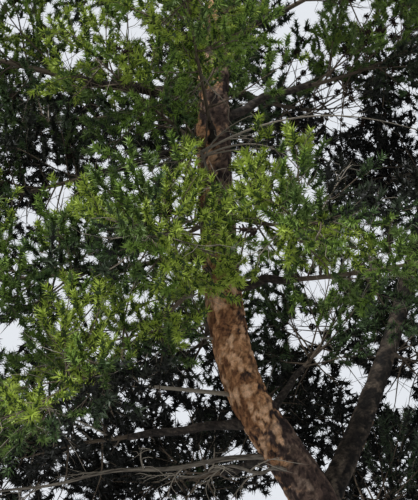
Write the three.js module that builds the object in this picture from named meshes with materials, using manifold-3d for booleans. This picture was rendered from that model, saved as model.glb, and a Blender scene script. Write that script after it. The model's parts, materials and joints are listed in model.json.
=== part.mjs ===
// A Virginia pine, whole: a leaning trunk that forks three metres up, its boughs, and the masses of
// needles at their ends. Millimetres, +Z up, with the flat cut under the trunk at z = 0.
import * as THREE from "three";
import { mergeVertices } from "three/addons/utils/BufferGeometryUtils.js";
import Module from "manifold-3d";

const wasm = await Module();
wasm.setup();

// Driving sizes
const seam = 0.35; // clearance between a limb and what it grows from
const clearance = 12; // from a spray to any limb that it doesn't grow on
const trunkTop = 12300; // where the trunk ends and the leading shoot takes over
const flare = { share: 0.42, lobes: 5, lobeDepth: 0.3, height: 330 };
const taper = { bough: 0.62, deadBough: 0.35, stem: 0.4 }; // the tip's radius as a share of the foot's
const tipLift = 14; // degrees that the growing end of a mass turns up
// Twigs leave a mass's stem at an angle between two spreads, and rise or droop by turns, in degrees.
const twig = { count: 7, rootRadius: 14, tipRadius: 8, spread: [50, 62], lifts: [42, 42, -30, -30] };
// A spray reaches out from its hub in teeth over a fan of so many degrees to each side. taper, notch and
// heel are shares of its reach: how far the outer teeth draw in, the notches, and the part behind the hub.
const spray = {
  reach: 800, smallest: 220, halfThickness: 75, teeth: 5, fan: 104, taper: 0.4, notch: 0.62, heel: 0.5,
};
const cone = { radius: 27, length: 66, stalk: 14 };

// The trunk's axis and radius by height. It bends left above the fork, then straightens.
const trunkStations = [
  { z: 0, x: 0, y: 0, radius: 212 },
  { z: 900, x: -8, y: 6, radius: 200 },
  { z: 1900, x: -52, y: 14, radius: 192 },
  { z: 2600, x: -118, y: 12, radius: 186 },
  { z: 3060, x: -226, y: 4, radius: 171 },
  { z: 3480, x: -472, y: -8, radius: 158 },
  { z: 3900, x: -728, y: -26, radius: 153 },
  { z: 4350, x: -872, y: -58, radius: 151 },
  { z: 5000, x: -962, y: -110, radius: 149 },
  { z: 6500, x: -1032, y: -200, radius: 145 },
  { z: 7500, x: -1010, y: -205, radius: 136 },
  { z: 8300, x: -880, y: -160, radius: 122 },
  { z: 9500, x: -720, y: -60, radius: 92 },
  { z: 11000, x: -640, y: 30, radius: 55 },
  { z: trunkTop, x: -590, y: 45, radius: 17 },
];

// The boughs. foot is the height where one leaves the trunk, azimuth is measured from +X towards +Y,
// rise is its slope there, and swing and bend turn it by its end. mass is the length of the needles
// at its end, and half their width and depth.
const boughs = [
  { name: "upper_left", foot: 6860, azimuth: 178, rise: 4, swing: 4, bend: 8, length: 1300, radius: 60,
    mass: [2800, 1080, 930] },
  { name: "left", foot: 6340, azimuth: 164, rise: -7, swing: 6, bend: -6, length: 1150, radius: 44,
    mass: [2600, 1030, 930] },
  { name: "upper_right", foot: 6520, azimuth: 18, rise: 42, swing: 6, bend: -14, length: 1300, radius: 46,
    mass: [2500, 1060, 1050] },
  { name: "mid_left", foot: 3720, azimuth: 172, rise: -3, swing: -6, bend: -2, length: 1150, radius: 40,
    mass: [2500, 1030, 930] },
  { name: "inner_right", foot: 3700, azimuth: 50, rise: 50, swing: 14, bend: -16, length: 1050, radius: 36,
    mass: [2200, 970, 960] },
  { name: "low_right", foot: 2560, azimuth: 66, rise: 38, swing: -6, bend: -16, length: 950, radius: 40,
    mass: [2500, 1080, 960] },
  { name: "front_left", foot: 5060, azimuth: 224, rise: -32, swing: 4, bend: -16, length: 480, radius: 44,
    mass: [2700, 840, 720] },
  { name: "left_front", foot: 5180, azimuth: 202, rise: -10, swing: 4, bend: -12, length: 640, radius: 44,
    mass: [2700, 950, 840] },
  { name: "front_middle", foot: 5520, azimuth: 247, rise: -24, swing: 6, bend: -12, length: 460, radius: 36,
    mass: [2000, 880, 780] },
  { name: "front", foot: 5680, azimuth: 282, rise: -38, swing: 12, bend: 4, length: 620, radius: 40,
    mass: [2000, 880, 810] },
  { name: "front_right", foot: 4900, azimuth: 328, rise: -6, swing: -6, bend: -6, length: 780, radius: 42,
    mass: [2700, 990, 700] },
  { name: "top_front", foot: 6260, azimuth: 268, rise: 0, swing: -6, bend: 8, length: 420, radius: 36,
    mass: [2100, 980, 640] },
  { name: "back_low_left", foot: 3440, azimuth: 113, rise: 6, swing: 8, bend: -4, length: 1100, radius: 44,
    mass: [2700, 1100, 960] },
  { name: "back_low_right", foot: 4180, azimuth: 74, rise: 2, swing: 8, bend: 0, length: 1100, radius: 42,
    mass: [2600, 1080, 960] },
  { name: "back", foot: 4950, azimuth: 100, rise: 4, swing: -8, bend: 2, length: 1200, radius: 46,
    mass: [2700, 1100, 960] },
  { name: "back_left", foot: 6950, azimuth: 138, rise: 6, swing: 6, bend: 6, length: 1100, radius: 44,
    mass: [2600, 1080, 960] },
  { name: "back_right", foot: 7000, azimuth: 58, rise: 18, swing: -6, bend: 2, length: 1000, radius: 42,
    mass: [2500, 1060, 960] },
  { name: "high_right", foot: 7440, azimuth: 332, rise: 10, swing: 4, bend: 6, length: 800, radius: 42,
    mass: [2500, 1060, 930] },
  { name: "high_left", foot: 7780, azimuth: 202, rise: 12, swing: -4, bend: 4, length: 800, radius: 42,
    mass: [2500, 1060, 930] },
  { name: "high_back", foot: 8250, azimuth: 92, rise: 14, swing: 4, bend: 6, length: 750, radius: 40,
    mass: [2400, 1030, 930] },
];

// Limbs that have lost their needles. Twigs leave each from a share of its way out, up to a length.
const deadBoughs = [
  { name: "low_left", foot: 3440, azimuth: 181, rise: -5, swing: 4, bend: -6,
    length: 2350, radius: 27, from: 0.35, twigLength: 640 },
  { name: "low_front", foot: 3290, azimuth: 236, rise: -4, swing: -12, bend: -14,
    length: 1500, radius: 20, from: 0.35, twigLength: 430 },
  { name: "snag", foot: 5640, azimuth: 248, rise: 48, swing: -10, bend: 14,
    length: 560, radius: 33, from: 0.8, twigLength: 1700 },
];
const deadTwigs = 5; // on each

// The second stem of the fork, and the masses that sit on it: at is the share of the way up.
const fork = {
  foot: 2960, azimuth: 39, rise: 54, swing: -4, bend: 27, length: 6400, radius: 100, tipRadius: 30,
};
const forkMasses = [
  { name: "fork_low", at: 0.3, azimuth: 62, rise: 8, mass: [2200, 1000, 930] },
  { name: "fork_right", at: 0.56, azimuth: 356, rise: 14, mass: [2400, 1030, 930] },
  { name: "fork_back", at: 0.72, azimuth: 105, rise: 14, mass: [2200, 990, 930] },
  { name: "fork_front", at: 0.8, azimuth: 290, rise: 16, mass: [2000, 970, 900] },
  { name: "fork_top", at: 1, azimuth: 35, rise: 81, mass: [1500, 900, 1140] },
];
const forkMassRadius = 26; // of the stems that those masses grow on

// Above the named boughs the crown narrows to its top: masses turn round the trunk by the golden angle.
const top = {
  count: 7, lowest: 8900, step: 530, azimuth: 318, turn: 180 * (3 - Math.sqrt(5)), rise: [16, 24],
  length: [2700, 1300], halfWidth: 0.42, radius: [30, 16],
};
// Masses that grow straight from the trunk, among the boughs.
const trunkMasses = [
  { name: "shoulder_left", foot: 6200, azimuth: 226, rise: 6, radius: 26, mass: [2000, 860, 800] },
  { name: "shoulder_back", foot: 6950, azimuth: 92, rise: 8, radius: 28, mass: [2300, 1000, 900] },
];
const leader = { name: "leader", azimuth: 2, rise: 87.8, radius: 15, mass: [1050, 620, 840] };

const bark = new THREE.MeshStandardMaterial({ color: "#8a5b3e", roughness: 0.9, metalness: 0 });
const boughBark = new THREE.MeshStandardMaterial({ color: "#6a5647", roughness: 0.92, metalness: 0 });
const deadWood = new THREE.MeshStandardMaterial({ color: "#8f8779", roughness: 0.95, metalness: 0 });
const litNeedles = new THREE.MeshStandardMaterial({ color: "#6c8d35", roughness: 0.6, metalness: 0 });
const shadeNeedles = new THREE.MeshStandardMaterial({ color: "#3f5730", roughness: 0.65, metalness: 0 });

const up = new THREE.Vector3(0, 0, 1);
const radians = THREE.MathUtils.degToRad;
const mix = THREE.MathUtils.lerp;
const step = (point, direction, distance) => point.clone().addScaledVector(direction, distance);

// Repeatable random numbers from 0 to 1.
function seeded(seed) {
  let state = seed >>> 0;
  return () => {
    state = (state + 0x6d2b79f5) >>> 0;
    let t = Math.imul(state ^ (state >>> 15), state | 1);
    t = (t + Math.imul(t ^ (t >>> 7), t | 61)) ^ t;
    return ((t ^ (t >>> 14)) >>> 0) / 4294967296;
  };
}

// A unit vector at a compass angle and a slope, in degrees.
function heading(azimuth, rise) {
  const flat = Math.cos(radians(rise));
  return new THREE.Vector3(
    flat * Math.cos(radians(azimuth)),
    flat * Math.sin(radians(azimuth)),
    Math.sin(radians(rise)),
  );
}

// The trunk's axis and radius at a height, by a cubic through the stations.
function trunkAt(height) {
  const rows = trunkStations;
  let i = 0;
  while (i < rows.length - 2 && height > rows[i + 1].z) i++;
  const span = rows[i + 1].z - rows[i].z;
  const u = (height - rows[i].z) / span;
  const value = (key) => {
    const slope = (k) => {
      const low = rows[Math.max(k - 1, 0)];
      const high = rows[Math.min(k + 1, rows.length - 1)];
      return (high[key] - low[key]) / (high.z - low.z);
    };
    const a = rows[i][key];
    const b = rows[i + 1][key];
    return (
      a * (1 + 2 * u) * (1 - u) ** 2 +
      b * u * u * (3 - 2 * u) +
      slope(i) * span * u * (1 - u) ** 2 -
      slope(i + 1) * span * u * u * (1 - u)
    );
  };
  return { centre: new THREE.Vector3(value("x"), value("y"), height), radius: value("radius") };
}

// A curve that leaves a point at one slope and has turned to another by its end.
function limbCurve(start, { azimuth, rise, bend, swing, length }) {
  const knee = step(start, heading(azimuth, rise), length / 2);
  const end = step(knee, heading(azimuth + swing, rise + bend), length / 2);
  return new THREE.QuadraticBezierCurve3(start, knee, end);
}

// A closed tapering tube: a cylinder whose rings are moved on to a curve. radiusAt takes the share of
// the way along and the angle round; level keeps the first ring flat on the ground.
function tube(centreAt, radiusAt, side, sides, rings, level = false) {
  const geometry = new THREE.CylinderGeometry(1, 1, 1, sides, rings);
  const position = geometry.getAttribute("position");
  const point = new THREE.Vector3();
  for (let i = 0; i < position.count; i++) {
    point.fromBufferAttribute(position, i);
    const t = point.y + 0.5;
    const ahead = centreAt(Math.min(t + 0.005, 1)).sub(centreAt(Math.max(t - 0.005, 0))).normalize();
    const across = side.clone().addScaledVector(ahead, -side.dot(ahead)).normalize();
    const third = across.clone().cross(ahead);
    const radius = radiusAt(t, Math.atan2(point.z, point.x));
    const placed = step(centreAt(t), across, point.x * radius).addScaledVector(third, point.z * radius);
    if (level && t < 1e-6) placed.z = 0;
    position.setXYZ(i, placed.x, placed.y, placed.z);
  }
  return solidOf(geometry);
}

// A closed geometry as a solid that can be joined and cut.
function solidOf(geometry) {
  geometry.deleteAttribute("normal");
  geometry.deleteAttribute("uv");
  const merged = mergeVertices(geometry, 1e-3);
  return new wasm.Manifold(
    new wasm.Mesh({
      numProp: 3,
      vertProperties: merged.getAttribute("position").array,
      triVerts: new Uint32Array(merged.index.array),
    }),
  );
}

// A solid as a named mesh of the model.
function meshOf(name, solid, material) {
  const shell = solid.getMesh();
  const geometry = new THREE.BufferGeometry();
  geometry.setAttribute("position", new THREE.BufferAttribute(new Float32Array(shell.vertProperties), 3));
  geometry.setIndex(new THREE.BufferAttribute(new Uint32Array(shell.triVerts), 1));
  geometry.computeVertexNormals();
  const mesh = new THREE.Mesh(geometry, material);
  mesh.name = name;
  return mesh;
}

// The largest body of a solid: what is left after small scraps are dropped.
function largest(solid) {
  return solid.decompose().reduce((a, b) => (b.volume() > a.volume() ? b : a));
}

// The trunk, with its root flare. extra thickens it, to cut what grows from it.
function trunkSolid(extra) {
  const sides = 13;
  const rings = 26;
  const ringPower = 1.5; // rings lie closer together in the flare
  const centreAt = (t) => trunkAt(trunkTop * t ** ringPower).centre;
  const radiusAt = (t, angle) => {
    const height = trunkTop * t ** ringPower;
    const spread = flare.share * Math.exp(-height / flare.height);
    const lobe = 1 + flare.lobeDepth * Math.cos(flare.lobes * angle + 0.6);
    return trunkAt(height).radius * (1 + spread * lobe) + extra;
  };
  return tube(centreAt, radiusAt, new THREE.Vector3(1, 0, 0), sides, rings, true);
}

// A limb: its curve, its radius along it, and the side that its tube's first corner faces.
function limbOf(curve, footRadius, tipRadius, side) {
  const hollow = 0.8; // below 1, the limb thins faster near its foot
  return { curve, side, radiusAt: (t) => mix(footRadius, tipRadius, t ** hollow) };
}

function limbSolid(limb, sides, rings, extra = 0) {
  return tube((t) => limb.curve.getPoint(t), (t) => limb.radiusAt(t) + extra, limb.side, sides, rings);
}

// The rim of a spray as steps round its hub, in degrees and shares of its reach: teeth with notches
// between them, shorter to both sides, and the heel that points back along the twig.
function sprayRim() {
  const half = spray.teeth - 1;
  const rim = [];
  for (let k = -half; k <= half; k++) {
    const drawnIn = 1 - spray.taper * Math.abs(k / half);
    rim.push({ turn: (spray.fan * k) / half, reach: drawnIn * (k % 2 ? spray.notch : 1) });
  }
  rim.push({ turn: 180, reach: spray.heel });
  return rim;
}

// The same rim in space, for a spray with its hub at a point.
function sprayCorners({ hub, ahead, side, reach }) {
  return sprayRim().map((corner) => {
    const out = reach * corner.reach;
    const point = step(hub, ahead, out * Math.cos(radians(corner.turn)));
    return point.addScaledVector(side, out * Math.sin(radians(corner.turn)));
  });
}

// A spray of needles, a toothed blade thickest at its hub, with the twig that carries it.
function sprigSolid(shape) {
  const corners = sprayCorners(shape);
  const count = corners.length;
  const geometry = new THREE.SphereGeometry(1, count, 2);
  const position = geometry.getAttribute("position");
  for (let i = 0; i < position.count; i++) {
    const [x, y, z] = [position.getX(i), position.getY(i), position.getZ(i)];
    const corner = Math.round((Math.atan2(z, x) / (2 * Math.PI)) * count + count) % count;
    const onHub = Math.abs(y) > 0.5;
    const thick = Math.sign(y) * spray.halfThickness;
    const placed = onHub ? step(shape.hub, shape.normal, thick) : corners[corner];
    position.setXYZ(i, placed.x, placed.y, placed.z);
  }
  const carrier = limbOf(new THREE.LineCurve3(shape.base, shape.hub), shape.root, twig.tipRadius, shape.side);
  return solidOf(geometry).add(limbSolid(carrier, 3, 1));
}

// The space of a mass: an ellipsoid round its stem.
function spaceOf(stem, azimuth, [length, width, depth]) {
  const ahead = stem.v2.clone().sub(stem.v0).normalize();
  const across = heading(azimuth + 90, 0);
  across.addScaledVector(ahead, -across.dot(ahead)).normalize();
  return {
    centre: stem.v0.clone().lerp(stem.v2, 0.54),
    axes: [ahead, across, ahead.clone().cross(across)],
    halves: [length * 0.57, width, depth],
  };
}

// How far out of a space a point lies: 0 at its centre and 1 on its wall.
function depthIn(space, point) {
  const from = point.clone().sub(space.centre);
  return Math.hypot(...space.axes.map((axis, i) => from.dot(axis) / space.halves[i]));
}

// How far a point inside a space can go along a direction before it meets the wall.
function roomAlong(space, point, direction) {
  const from = point.clone().sub(space.centre);
  const p = space.axes.map((axis, i) => from.dot(axis) / space.halves[i]);
  const d = space.axes.map((axis, i) => direction.dot(axis) / space.halves[i]);
  const dot = (a, b) => a[0] * b[0] + a[1] * b[1] + a[2] * b[2];
  const root = dot(p, d) ** 2 - dot(d, d) * (dot(p, p) - 1);
  return root > 0 ? (Math.sqrt(root) - dot(p, d)) / dot(d, d) : 0;
}

const touches = (solid, others) => others.some((other) => !other.intersect(solid).isEmpty());
const sideOf = (azimuth) => heading(azimuth + 90, 0);

// What foliage keeps clear of: every limb, a little thicker than it is.
const keepOff = [trunkSolid(clearance)];
const masses = [];
const group = new THREE.Group();

// A mass of needles to be: the stem it grows on, which is cut back from its parent, and its space.
function planMass(name, root, { azimuth, rise, mass, radius }, parent) {
  const start = parent ? root : step(root, heading(azimuth, rise), seam);
  const bend = rise < 60 ? tipLift : 0;
  const curve = limbCurve(start, { azimuth, rise, bend, swing: 0, length: mass[0] * 0.8 });
  const space = spaceOf(curve, azimuth, mass);
  const stem = limbOf(curve, radius, Math.max(radius * taper.stem, 11), space.axes[1]);
  const facesFront = Math.sin(radians(azimuth)) < 0;
  masses.push({ name, stem, space, parent, material: facesFront ? litNeedles : shadeNeedles });
}

const stemSolid = (mass, extra = 0) => limbSolid(mass.stem, 4, 3, extra);

function addTrunk() {
  group.add(meshOf("trunk", trunkSolid(0), bark));
  return trunkSolid(seam);
}

function addForkStem(trunkCutter) {
  const curve = limbCurve(trunkAt(fork.foot).centre, fork);
  const limb = limbOf(curve, fork.radius, fork.tipRadius, sideOf(fork.azimuth));
  const solid = (extra) => limbSolid(limb, 10, 12, extra);
  keepOff.push(solid(clearance));
  group.add(meshOf("fork_stem", largest(solid(0).subtract(trunkCutter)), bark));
  for (const row of forkMasses) {
    const onTip = row.at === 1;
    const radius = onTip ? fork.tipRadius : forkMassRadius;
    planMass(row.name, curve.getPoint(row.at), { ...row, radius }, onTip ? null : solid(seam));
  }
  return solid(seam);
}

function addBough(row, cutters) {
  const tip = row.radius * taper.bough;
  const limb = limbOf(limbCurve(trunkAt(row.foot).centre, row), row.radius, tip, sideOf(row.azimuth));
  const solid = (extra) => limbSolid(limb, 6, 4, extra);
  keepOff.push(solid(clearance));
  const body = cutters.reduce((left, cutter) => left.subtract(cutter), solid(0));
  group.add(meshOf(`bough_${row.name}`, largest(body), boughBark));
  const [azimuth, rise] = [row.azimuth + row.swing, row.rise + row.bend];
  planMass(row.name, limb.curve.v2, { azimuth, rise, mass: row.mass, radius: tip }, null);
}

// A dead limb with bare twigs, which droop and curl.
function addDeadBough(row, trunkCutter) {
  const curve = limbCurve(trunkAt(row.foot).centre, row);
  const limb = limbOf(curve, row.radius, row.radius * taper.deadBough, sideOf(row.azimuth));
  const draw = seeded(row.foot);
  const parts = [limbSolid(limb, 5, 5)];
  for (let i = 0; i < deadTwigs; i++) {
    const t = mix(row.from, 0.92, i / (deadTwigs - 1));
    const away = i % 2 ? 1 : -1;
    const length = row.twigLength * mix(0.55, 1, draw());
    const azimuth = row.azimuth + row.swing * t + away * mix(28, 88, draw());
    const rise = mix(-12, 30, draw());
    const bend = mix(-46, -8, draw());
    const path = limbCurve(curve.getPoint(t), { azimuth, rise, bend, swing: away * 26, length });
    const foot = Math.min(limb.radiusAt(t) * 0.62, 12);
    parts.push(limbSolid(limbOf(path, foot, foot * 0.4, sideOf(azimuth)), 3, 3));
  }
  const body = largest(wasm.Manifold.union(parts).subtract(trunkCutter));
  keepOff.push(body);
  group.add(meshOf(`dead_bough_${row.name}`, body, deadWood));
}

function planTop(trunkCutter) {
  for (let i = 0; i < top.count; i++) {
    const share = i / (top.count - 1);
    const length = mix(...top.length, share ** 1.3);
    const halfWidth = length * top.halfWidth;
    planMass(`top_${i + 1}`, trunkAt(top.lowest + top.step * i).centre, {
      azimuth: top.azimuth + top.turn * i,
      rise: mix(...top.rise, share),
      mass: [length, halfWidth, halfWidth],
      radius: mix(...top.radius, share),
    }, trunkCutter);
  }
  planMass(leader.name, step(trunkAt(trunkTop).centre, up, seam), leader, null);
}

// A cone on a stem, pointing out and a little down.
function coneSolid(mass, hand) {
  const t = 0.66;
  const ahead = mass.space.axes[1].clone().multiplyScalar(hand).addScaledVector(up, -0.4).normalize();
  const shape = new THREE.SphereGeometry(1, 4, 3);
  shape.scale(cone.radius, cone.length / 2, cone.radius);
  shape.applyQuaternion(new THREE.Quaternion().setFromUnitVectors(new THREE.Vector3(0, 1, 0), ahead));
  const centre = step(mass.stem.curve.getPoint(t), ahead, mass.stem.radiusAt(t) + cone.stalk);
  shape.translate(centre.x, centre.y, centre.z);
  return solidOf(shape);
}

// One mass of needles: twigs to both sides of a stem, each carrying a spray. A spray that would leave
// the mass's space, or touch a limb or another spray, is made smaller or left out.
function growMass(mass, index, others) {
  const { stem, space } = mass;
  const draw = seeded(977 + 131 * index);
  const [, across] = space.axes;
  const sprigs = [];
  const overlap = 0.1; // how far one space may reach into the next, where nothing is touched
  const inside = (point) => {
    const own = depthIn(space, point);
    return own < 1.02 && masses.every((m) => m === mass || depthIn(m.space, point) > own - overlap);
  };

  const addSprig = (t, ahead, { roll, size, share }) => {
    const base = stem.curve.getPoint(t);
    const normal = across.clone().cross(ahead).normalize().applyAxisAngle(ahead, roll);
    const side = ahead.clone().cross(normal).normalize();
    const room = roomAlong(space, base, ahead) * share;
    const root = Math.min(twig.rootRadius, 0.62 * stem.radiusAt(t));
    for (const part of [1, 0.84, 0.7, 0.55]) {
      const reach = Math.min(spray.reach * size, room * 0.7) * part;
      const hub = step(base, ahead, (room - reach) * (part < 1 ? 0.9 : 1));
      const shape = { base, hub, ahead, normal, side, reach, root };
      if (reach < spray.smallest || !sprayCorners(shape).every(inside)) continue;
      const sprig = sprigSolid(shape);
      if (touches(sprig, sprigs) || touches(sprig, others) || touches(sprig, keepOff)) continue;
      sprigs.push(sprig);
      return;
    }
  };

  for (let i = 0; i < twig.count; i++) {
    const t = mix(0.1, 0.88, i / (twig.count - 1));
    const away = i % 2 ? 1 : -1;
    const spread = radians(mix(...twig.spread, draw()));
    const lift = radians(twig.lifts[i % 4] + mix(-8, 8, draw()));
    const look = {
      roll: away * mix(-1.5, -0.9, draw()),
      size: mix(0.86, 1.1, draw()),
      share: mix(0.9, 1, draw()),
    };
    const ahead = stem.curve.getTangent(t).multiplyScalar(Math.cos(spread));
    ahead.addScaledVector(across, away * Math.sin(spread)).multiplyScalar(Math.cos(lift));
    addSprig(t, ahead.addScaledVector(up, Math.sin(lift)).normalize(), look);
  }
  addSprig(0.7, stem.curve.getTangent(1), { roll: 0, size: 1.05, share: 1 });

  const body = wasm.Manifold.union([stemSolid(mass), ...sprigs, coneSolid(mass, index % 2 ? 1 : -1)]);
  return largest(mass.parent ? body.subtract(mass.parent) : body);
}

// Limbs come first, so that the foliage can keep clear of them all.
const trunkCutter = addTrunk();
const forkCutter = addForkStem(trunkCutter);
boughs.forEach((row) => addBough(row, [trunkCutter, forkCutter]));
deadBoughs.forEach((row) => addDeadBough(row, trunkCutter));
planTop(trunkCutter);
trunkMasses.forEach((row) => planMass(row.name, trunkAt(row.foot).centre, row, trunkCutter));

const stems = masses.map((mass) => stemSolid(mass, clearance));
const grown = [];
masses.forEach((mass, index) => {
  const body = growMass(mass, index, [...grown, ...stems.filter((_, i) => i !== index)]);
  grown.push(body);
  group.add(meshOf(`needles_${mass.name}`, body, mass.material));
});

export default group;
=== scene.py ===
import json
import math
import bpy
import numpy as np
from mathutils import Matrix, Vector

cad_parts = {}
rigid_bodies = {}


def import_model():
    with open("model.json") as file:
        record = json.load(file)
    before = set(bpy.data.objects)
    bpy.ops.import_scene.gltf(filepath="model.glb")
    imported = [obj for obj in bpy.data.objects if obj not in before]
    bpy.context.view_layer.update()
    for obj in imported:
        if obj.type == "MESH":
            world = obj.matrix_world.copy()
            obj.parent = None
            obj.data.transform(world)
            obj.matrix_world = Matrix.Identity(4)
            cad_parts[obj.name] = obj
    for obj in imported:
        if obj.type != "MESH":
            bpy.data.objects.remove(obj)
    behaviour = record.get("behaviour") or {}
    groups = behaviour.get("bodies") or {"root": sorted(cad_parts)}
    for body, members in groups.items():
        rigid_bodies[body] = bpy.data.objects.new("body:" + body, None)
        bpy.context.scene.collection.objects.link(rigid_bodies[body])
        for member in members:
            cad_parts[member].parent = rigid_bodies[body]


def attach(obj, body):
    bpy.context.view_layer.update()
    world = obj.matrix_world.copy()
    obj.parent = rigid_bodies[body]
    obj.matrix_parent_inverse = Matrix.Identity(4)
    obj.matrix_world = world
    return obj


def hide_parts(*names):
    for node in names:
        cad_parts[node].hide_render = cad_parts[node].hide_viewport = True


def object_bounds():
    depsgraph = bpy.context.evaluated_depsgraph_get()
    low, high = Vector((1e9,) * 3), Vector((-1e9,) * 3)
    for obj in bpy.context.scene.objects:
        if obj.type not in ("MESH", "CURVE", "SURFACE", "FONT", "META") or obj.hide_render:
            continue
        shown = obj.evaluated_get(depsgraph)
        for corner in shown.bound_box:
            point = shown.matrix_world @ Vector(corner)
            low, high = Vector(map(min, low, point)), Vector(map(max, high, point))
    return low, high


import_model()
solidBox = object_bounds()  # the box of the solids alone

# A Virginia pine: scaly orange bark on a leaning forked trunk, and short twisted needles in tufts.
# Tables are in millimetres and degrees, as the solids' own are, and meshes in metres.
mm = 0.001
up = np.array((0.0, 0.0, 1.0))
skew = (0.31, 0.17, 0.93)  # a direction that no limb or twig has
goldenTurn = math.pi * (3 - math.sqrt(5))

# Camera at eye height, looking up into the middle of the crown, in metres and degrees
cameraView = {"place": (-1.07, -7.6, 1.6), "pitch": 26, "lens": 67.2, "sensor": 36}

# Where the photo shows open sky through the crown: x, y and radius in pixels of its 418 x 500
photoWidth, photoHeight = 418, 500
skyGaps = (
    (338, 105, 28), (302, 329, 19), (59, 196, 15), (398, 393, 17), (316, 285, 16), (298, 71, 16),
    (361, 11, 15), (9, 334, 15), (357, 375, 12), (19, 24, 12), (340, 62, 12), (396, 26, 12),
    (70, 58, 12), (27, 218, 12), (259, 91, 11), (182, 416, 11), (260, 229, 10), (130, 28, 11),
    (234, 452, 10),
)
# Where it shows the trunk's bark through the needles
barkWindows = (
    (212, 100, 15), (214, 122, 16), (216, 144, 16), (214, 166, 16), (228, 176, 10), (228, 322, 10),
)
# Needles are also left out before the limbs that it shows whole, as near as this in pixels. Of a living
# bough that is the part between two shares of its length. The paths come in as the limbs are made.
limbOpening = 7
shownBoughs = {"upper_left": (0.4, 1)}
shownPaths = []

# Where it shows the needles lit, or deep in shade: x, y and radius in pixels, and by how much. There the
# sprays' tints are painted lighter or darker, as painted light and shade
lightPatches = (
    (370, 45, 100, 0.2), (18, 60, 75, 0.24), (385, 165, 75, -0.5), (318, 175, 55, -0.3),
    (90, 250, 55, -0.14), (205, 275, 60, 0.4), (125, 325, 45, 0.24), (310, 285, 80, 0.12),
    (138, 405, 66, -0.6), (84, 486, 80, -0.6), (32, 402, 46, 0.26), (132, 172, 42, -0.2),
)

# A pale floor and backdrop, and a soft key light from the upper left with a weak fill
studio = {
    "sky": "#E4E8EE", "skyStrength": 1.0, "fillStrength": 0.3,
    "floor": "#B9BABB", "floorRadius": 60, "floorCorners": 96,
    "keyTurn": -32, "keyHeight": 52, "keyStrength": 3.5, "keySoftness": 20,
}

# The trunk's axis and radius by height: z, x, y, radius
trunkStations = (
    (0, 0, 0, 212), (900, -8, 6, 200), (1900, -52, 14, 192), (2600, -118, 12, 186),
    (3060, -226, 4, 171), (3480, -472, -8, 158), (3900, -728, -26, 153), (4350, -872, -58, 151),
    (5000, -962, -110, 149), (6500, -1032, -200, 145), (7500, -1010, -205, 136),
    (8300, -880, -160, 122), (9500, -720, -60, 92), (11000, -640, 30, 55), (12300, -590, 45, 17),
)
flare = {"share": 0.42, "lobes": 5, "lobeDepth": 0.3, "height": 330, "turn": 0.6}
taper = {"bough": 0.62, "deadBough": 0.35, "stem": 0.4, "power": 0.8, "waver": 0.4}
clearance = 0.35  # the solids start this far clear of what they grow from
# A mass of needles: how far its end turns up unless it's steep, the length of its stem and its own half
# length as shares of its length, where on the stem its centre lies, and the stem's least radius at the tip
massShape = {"lift": 14, "steep": 60, "stem": 0.8, "half": 0.57, "centre": 0.54, "thinnest": 11}

# Living boughs: foot height, azimuth, rise, swing, bend, length, radius, and the size of the mass of
# needles at the end, as its length, half width and half depth. Where a mass's row goes on, it says how many
# more or fewer twigs it has than its size asks for, and how much more painted light its sprays' tints get
# than its place gives them.
boughs = {
    "upper_left": (6860, 178, 4, 4, 8, 1300, 60, (2800, 1080, 930), 1.3, -0.14),
    "left": (6340, 164, -7, 6, -6, 1150, 44, (2600, 1030, 930), 1.4, -0.24),
    "upper_right": (6520, 18, 42, 6, -14, 1300, 46, (2500, 1060, 1050), 1.1, -0.1),
    "mid_left": (3720, 172, -3, -6, -2, 1150, 40, (2500, 1030, 930), 2.3, -0.16),
    "inner_right": (3700, 50, 50, 14, -16, 1050, 36, (2200, 970, 960), 1.3, -0.06),
    "low_right": (2560, 66, 38, -6, -16, 950, 40, (2500, 1080, 960), 1.4, -0.22),
    "front_left": (5060, 224, -32, 4, -16, 480, 44, (2700, 840, 720), 1.35, 0.08),
    "left_front": (5180, 202, -10, 4, -12, 640, 44, (2700, 950, 840), 1.45, -0.1),
    "front_middle": (5520, 247, -24, 6, -12, 460, 36, (2000, 880, 780), 1.5),
    "front": (5680, 282, -38, 12, 4, 620, 40, (2000, 880, 810), 1.25, 0.08),
    "front_right": (4900, 328, -6, -6, -6, 780, 42, (2700, 990, 700), 1.1, -0.16),
    "top_front": (6260, 268, 0, -6, 8, 420, 36, (2100, 980, 640)),
    "back_low_left": (3440, 113, 6, 8, -4, 1100, 44, (2700, 1100, 960), 1.45, -0.16),
    "back_low_right": (4180, 74, 2, 8, 0, 1100, 42, (2600, 1080, 960), 1.25, -0.16),
    "back": (4950, 100, 4, -8, 2, 1200, 46, (2700, 1100, 960), 1.2, 0.06),
    "back_left": (6950, 138, 6, 6, 6, 1100, 44, (2600, 1080, 960), 1.3, -0.14),
    "back_right": (7000, 58, 18, -6, 2, 1000, 42, (2500, 1060, 960), 1.2),
    "high_right": (7440, 332, 10, 4, 6, 800, 42, (2500, 1060, 930), 1, -0.1),
    "high_left": (7780, 202, 12, -4, 4, 800, 42, (2500, 1060, 930)),
    "high_back": (8250, 92, 14, 4, 6, 750, 40, (2400, 1030, 930), 0.8),
}

# Dead limbs: foot height, azimuth, rise, swing, bend, length, radius, first twig, twig length
deadBoughs = {
    "low_left": (3440, 181, -5, 4, -6, 2350, 27, 0.35, 640),
    "low_front": (3290, 236, -4, -12, -14, 1500, 20, 0.35, 430),
    "snag": (5640, 248, 48, -10, 14, 560, 33, 0.8, 1700),
}

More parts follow.
